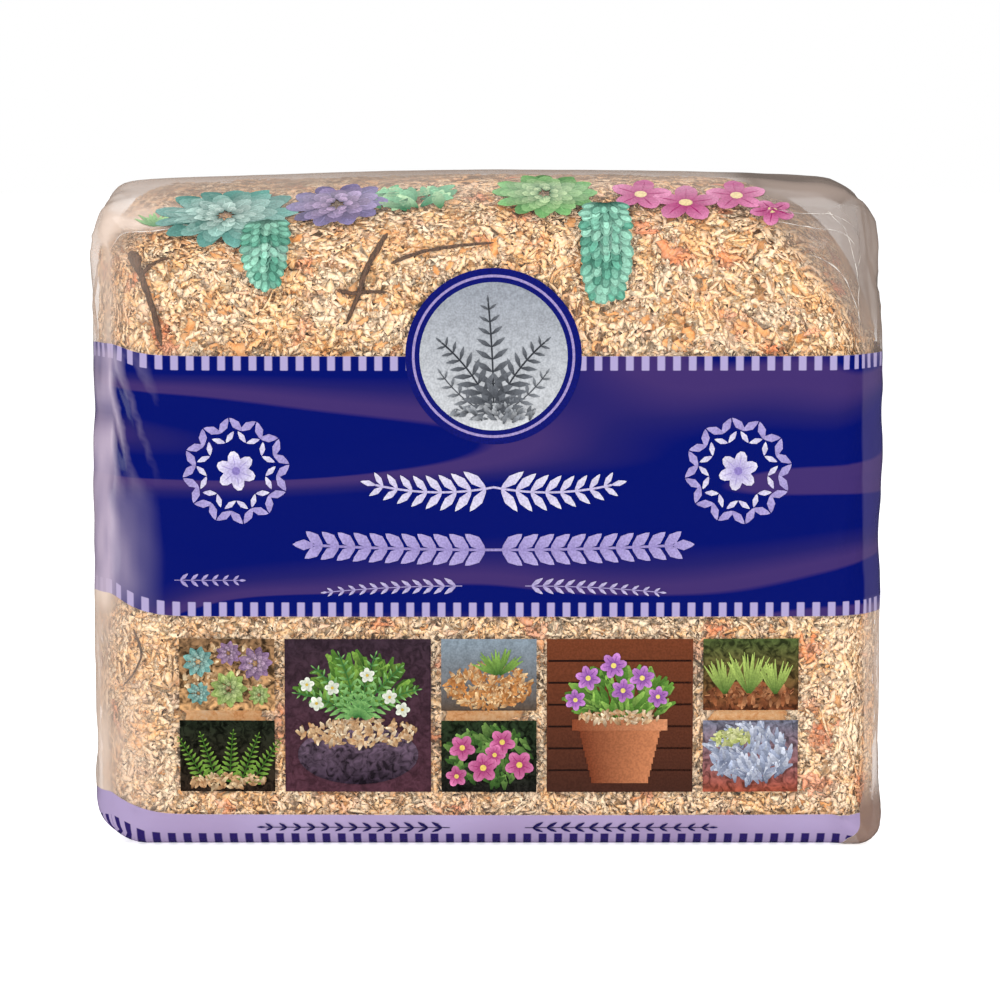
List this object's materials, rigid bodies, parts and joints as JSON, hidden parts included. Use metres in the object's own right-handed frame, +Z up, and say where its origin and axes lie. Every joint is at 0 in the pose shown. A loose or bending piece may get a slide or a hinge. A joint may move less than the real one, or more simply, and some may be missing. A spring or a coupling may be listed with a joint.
{
  "type": "bagged sphagnum moss bale",
  "caption": "Compressed block of dried sphagnum moss sealed in a clear printed film bag, standing on its narrow side, for lining planters and wetting as a growing medium.",
  "frame": {"origin": "middle of the footprint, on the surface that the bag stands on", "axes": "+X along the bag's long side, to the right seen from its printed front; +Y through its thickness, from the front to the back; +Z up"},
  "size_m": [0.2544, 0.0888, 0.2119],
  "materials": {
    "clear_film": "clear glossy polyethylene film",
    "navy_ink": "opaque navy print under a glossy film face",
    "lavender_ink": "opaque lavender print under a glossy film face",
    "dry_moss": "dry, matt, tangled moss strands, cream to orange-brown",
    "bark": "dry brown bark and twig"
  },
  "bodies": {
    "root": {"film_bag": "clear_film", "band_ink": "navy_ink", "foot_ink": "lavender_ink", "moss_bale": "dry_moss", "bark_strip": "bark", "twig_middle": "bark", "twig_thin": "bark", "root_hair": "bark"}
  },
  "joints": []
}
